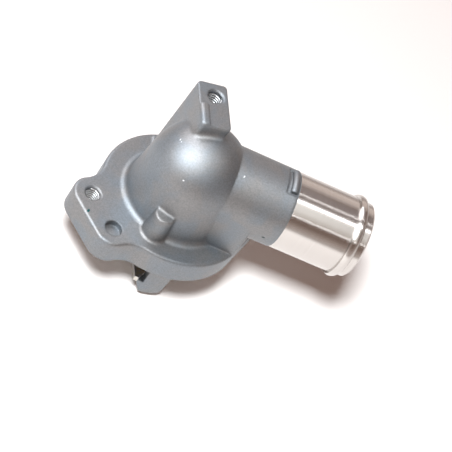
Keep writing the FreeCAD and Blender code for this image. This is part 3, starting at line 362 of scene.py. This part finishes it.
copper_wax, tree, place = blank("copper_filled_wax")
# the powder is finer than 0.1 mm; its flecks are drawn wider so that they show
fleck_width = 0.3 * mm
flecks = add(tree, "ShaderNodeTexVoronoi", {"Vector": place, "Scale": 1 / fleck_width})
fleck_share = add(tree, "ShaderNodeMapRange", {"Value": flecks.outputs["Distance"], "From Min": 0.35,
                                               "From Max": 0.2})
wax_colour = add(tree, "ShaderNodeMix", {"Factor": fleck_share.outputs["Result"], "A": paint("#9c6a3e"),
                                         "B": paint("#d08a5a")}, data_type="RGBA")
wax = add(tree, "ShaderNodeBsdfPrincipled", {"Base Color": wax_colour.outputs["Result"], "Roughness": 0.5,
                                             "Metallic": fleck_share.outputs["Result"]})
add(tree, "ShaderNodeOutputMaterial", {"Surface": wax.outputs["BSDF"]})
frame["nodes"]["wax_charge"].data.materials[0] = copper_wax

# Two open rings of spring steel clip into grooves and hold the plate on the guide and the bypass disc on
# the stem. The springs are wound from the same drawn wire, dark grey with a slight blue from tempering.

drawn_wire, tree, place = blank("tempered_spring_steel")
# the tempering colour changes slowly along the wire
temper_width = 8 * mm
temper = add(tree, "ShaderNodeTexNoise", {"Vector": place, "Scale": 1 / temper_width, "Detail": 2.0})
wire_colour = add(tree, "ShaderNodeMix", {"Factor": temper.outputs["Fac"], "A": paint("#74706c"),
                                          "B": paint("#6b7078")}, data_type="RGBA")
# the die's drawing marks are hair-fine; they are drawn wider so that they show in the gloss
draw_mark_width = 0.3 * mm
draw_marks = add(tree, "ShaderNodeTexNoise", {"Vector": place, "Scale": 1 / draw_mark_width,
                                              "Detail": 1.0})
wire_rough = add(tree, "ShaderNodeMapRange", {"Value": draw_marks.outputs["Fac"], "To Min": 0.32,
                                              "To Max": 0.48})
wire = add(tree, "ShaderNodeBsdfPrincipled", {"Base Color": wire_colour.outputs["Result"], "Metallic": 1.0,
                                              "Roughness": wire_rough.outputs["Result"]})
add(tree, "ShaderNodeOutputMaterial", {"Surface": wire.outputs["BSDF"]})
for name in ("plate_circlip", "bypass_clip"):
    frame["nodes"][name].data.materials[0] = drawn_wire


def coil(name, node, body, wire_radius, wide_low, wide_high, turns):
    """A cone-shaped coil spring in the height of its node, with closed ends that are ground flat."""
    (_, _, low), (_, _, high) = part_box(node)
    sides = 12
    steps_a_turn = 32
    closed_turns = 0.75
    wound = bmesh.new()
    ring = bmesh.ops.create_circle(wound, segments=sides, radius=wire_radius)["verts"]
    bmesh.ops.rotate(wound, verts=ring, cent=(0, 0, 0), matrix=Matrix.Rotation(math.pi / 2, 3, "X"))
    # the wire's centre starts and ends half its radius inside the ground faces, which cut the rest off
    start, end = low + wire_radius / 2, high - wire_radius / 2
    bmesh.ops.translate(wound, verts=ring, vec=(wide_low, 0, start))

    # each closed end climbs by the wire's thickness a turn, and the open turns share the rest of the rise
    steps = int(turns * steps_a_turn)
    closed = closed_turns / turns
    lie = 2 * wire_radius * closed_turns
    climbs = []
    for step in range(steps + 1):
        share = step / steps
        if share < closed:
            climbs.append(lie * share / closed)
        elif share > 1 - closed:
            climbs.append(end - start - lie * (1 - share) / closed)
        else:
            climbs.append(lie + (end - start - 2 * lie) * (share - closed) / (1 - 2 * closed))

    edges = list(wound.edges)
    one_step = Matrix.Rotation(math.tau * turns / steps, 3, "Z")
    inwards = (wide_high - wide_low) / steps
    for step in range(steps):
        grown = bmesh.ops.extrude_edge_only(wound, edges=edges)["geom"]
        verts = [part for part in grown if isinstance(part, bmesh.types.BMVert)]
        edges = [part for part in grown if isinstance(part, bmesh.types.BMEdge)]
        bmesh.ops.rotate(wound, verts=verts, cent=(0, 0, 0), matrix=one_step)
        swing = math.tau * turns * (step + 1) / steps
        bmesh.ops.translate(wound, verts=verts, vec=(inwards * math.cos(swing), inwards * math.sin(swing),
                                                     climbs[step + 1] - climbs[step]))
    bmesh.ops.holes_fill(wound, edges=wound.edges, sides=sides)
    for level, up in ((low, -1), (high, 1)):
        everything = list(wound.verts) + list(wound.edges) + list(wound.faces)
        cut = bmesh.ops.bisect_plane(wound, geom=everything, plane_co=(0, 0, level), plane_no=(0, 0, up),
                                     clear_outer=True)["geom_cut"]
        rims = [part for part in cut if isinstance(part, bmesh.types.BMEdge)]
        bmesh.ops.holes_fill(wound, edges=rims)
    bmesh.ops.recalc_face_normals(wound, faces=wound.faces)
    made = piece(name, wound, drawn_wire, body)
    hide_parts(node)
    return made


main_coil = coil("main_coil", "main_spring", "housing", 1.0 * mm, 13.0 * mm, 11.2 * mm, 4.5)
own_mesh(main_coil)
bypass_coil = coil("bypass_coil", "bypass_spring", "valve", 0.55 * mm, 6.2 * mm, 4.4 * mm, 3.0)
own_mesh(bypass_coil)

# The camera stands where the photograph was taken, 0.8 m from the housing. It looks down from the front
# left, and it is rolled, so that the spigot points down to the right as it does in the photograph.

camera_place = Vector((-162.60, -524.93, 582.06)) * mm
camera_aim = Vector((22.85, -10.78, 20.0)) * mm
camera_roll = math.radians(37.62)
camera = bpy.data.objects.new("camera", bpy.data.cameras.new("camera"))
bpy.context.scene.collection.objects.link(camera)
level_turn = (camera_aim - camera_place).to_track_quat("-Z", "Y").to_matrix().to_4x4()
camera.matrix_world = Matrix.Translation(camera_place) @ level_turn @ Matrix.Rotation(camera_roll, 4, "Z")
camera.data.lens = 140.6
camera.data.sensor_width = 36
camera.data.clip_start = 0.01
bpy.context.scene.camera = camera

# The table is a matt white sheet of paper. It lies under the lowest point of the housing, and the soft
# shadow on it stays.

half_width = 3.0
table = bmesh.new()
bmesh.ops.create_grid(table, x_segments=1, y_segments=1, size=half_width)
bmesh.ops.translate(table, verts=table.verts, vec=(0, 0, cad_box[0][2]))
sheet = bpy.data.meshes.new("floor")
table.to_mesh(sheet)
table.free()
floor = bpy.data.objects.new("floor", sheet)
bpy.context.scene.collection.objects.link(floor)
white_paper, tree, place = blank("matt_white_paper")
# the fibres lie in clouds
fibre_width = 2 * mm
fibres = add(tree, "ShaderNodeTexNoise", {"Vector": place, "Scale": 1 / fibre_width, "Detail": 2.0})
paper_colour = add(tree, "ShaderNodeMix", {"Factor": fibres.outputs["Fac"], "A": paint("#fafafa"),
                                           "B": paint("#fdfdfd")}, data_type="RGBA")
paper = add(tree, "ShaderNodeBsdfDiffuse", {"Color": paper_colour.outputs["Result"]})
# seen directly or in the metal, the sheet is a twentieth brighter, so that it is white round the shadow
seen = add(tree, "ShaderNodeLightPath").outputs
in_metal = add(tree, "ShaderNodeMath", {0: seen["Is Camera Ray"], 1: seen["Is Glossy Ray"]},
               operation="MAXIMUM")
in_view = add(tree, "ShaderNodeMath", {0: in_metal.outputs["Value"], 1: seen["Is Transmission Ray"]},
              operation="MAXIMUM")
brighter = add(tree, "ShaderNodeMix", {"Factor": in_view.outputs["Value"], "A": paint("#000000"),
                                       "B": paint("#404040")}, data_type="RGBA")
bright_paper = add(tree, "ShaderNodeBsdfDiffuse", {"Color": brighter.outputs["Result"]})
seen_paper = add(tree, "ShaderNodeAddShader", {0: paper.outputs["BSDF"], 1: bright_paper.outputs["BSDF"]})
# the sheet has no underside, so that it doesn't hide the valve from below
side = add(tree, "ShaderNodeNewGeometry")
clear = add(tree, "ShaderNodeBsdfTransparent")
one_sided_paper = add(tree, "ShaderNodeMixShader", {0: side.outputs["Backfacing"],
                                                    1: seen_paper.outputs["Shader"],
                                                    2: clear.outputs["BSDF"]})
add(tree, "ShaderNodeOutputMaterial", {"Surface": one_sided_paper.outputs["Shader"]})
sheet.materials.append(white_paper)

# Soft lamps stand round the table and light the housing: a large window on the left, the ceiling and the
# wall behind, and a band and two narrow tubes overhead, which draw the bright lines along the spigot.
# They skip the table. One lamp of its own lights it and gives the shadow in front of the housing.


def lamp(name, direction, away, wide, high, power, code="#ffffff"):
    """An area lamp that looks at the housing from one direction, its width lying along the spigot."""
    light = bpy.data.lights.new(name, "AREA")
    light.shape = "RECTANGLE"
    light.size, light.size_y = wide, high
    light.energy = power
    light.color = paint(code)[:3]
    holder = bpy.data.objects.new(name, light)
    bpy.context.scene.collection.objects.link(holder)
    housing_middle = Vector((17, 0, 20)) * mm
    way = Vector(direction).normalized()
    along_spigot = (Vector((1, 0, 0)) - way * way.x).normalized()
    turn = Matrix((along_spigot, way.cross(along_spigot), way)).transposed().to_4x4()
    holder.matrix_world = Matrix.Translation(housing_middle + way * away) @ turn
    holder.visible_camera = False
    return holder


not_floor = bpy.data.collections.new("not_floor")
not_floor.objects.link(floor)
not_floor.collection_objects[0].light_linking.link_state = "EXCLUDE"
for light in (lamp("window", (-0.58, -0.24, 0.78), 1.2, 1.0, 0.8, 25.0, "#f6fbff"),
              lamp("ceiling", (-0.09, -0.43, 0.90), 1.3, 1.2, 1.0, 4.0, "#f6f8f2"),
              lamp("rear_wall", (0.15, 0.90, 0.42), 1.3, 1.2, 0.6, 1.3, "#fff6f0"),
              lamp("rear_ceiling", (-0.42, 0.55, 0.72), 1.3, 0.7, 0.8, 10.0, "#fbfbff"),
              lamp("band", (0.15, -0.10, 0.98), 1.3, 1.4, 0.12, 3.0),
              lamp("upper_tube", (0.1, 0.266, 0.964), 1.3, 1.6, 0.03, 0.9),
              lamp("lower_tube", (0.1, -0.76, 0.648), 1.3, 1.6, 0.03, 0.9)):
    light.light_linking.receiver_collection = not_floor
floor_only = bpy.data.collections.new("floor_only")
floor_only.objects.link(floor)
table_lamp = lamp("table_lamp", (-0.335, -0.58, 1.0), 1.3, 0.2, 0.2, 24.0)
table_lamp.light_linking.receiver_collection = floor_only

# The room round the table is pale at the height of the table, and darker and warm overhead. It fills the
# shadow with a warm light, and the spigot mirrors it between the lamps as brown bands.

room = bpy.data.worlds.new("room")
bpy.context.scene.world = room
room.use_nodes = True
tree = room.node_tree
tree.nodes.clear()
look = add(tree, "ShaderNodeTexCoord").outputs["Generated"]
rise = add(tree, "ShaderNodeSeparateXYZ", {"Vector": look})
walls = add(tree, "ShaderNodeValToRGB", {"Fac": rise.outputs["Z"]})
ramp = walls.color_ramp.elements
ramp[0].position, ramp[0].color = 0.0, paint("#cec2bc")
ramp[1].position, ramp[1].color = 1.0, paint("#6c574f")
for position, code in ((0.15, "#bcaca4"), (0.4, "#81695e")):
    ramp.new(position).color = paint(code)
sky = add(tree, "ShaderNodeBackground", {"Color": walls.outputs["Color"], "Strength": 1.0})
add(tree, "ShaderNodeOutputWorld", {"Surface": sky.outputs["Background"]})
bpy.context.scene.view_settings.view_transform = "Standard"
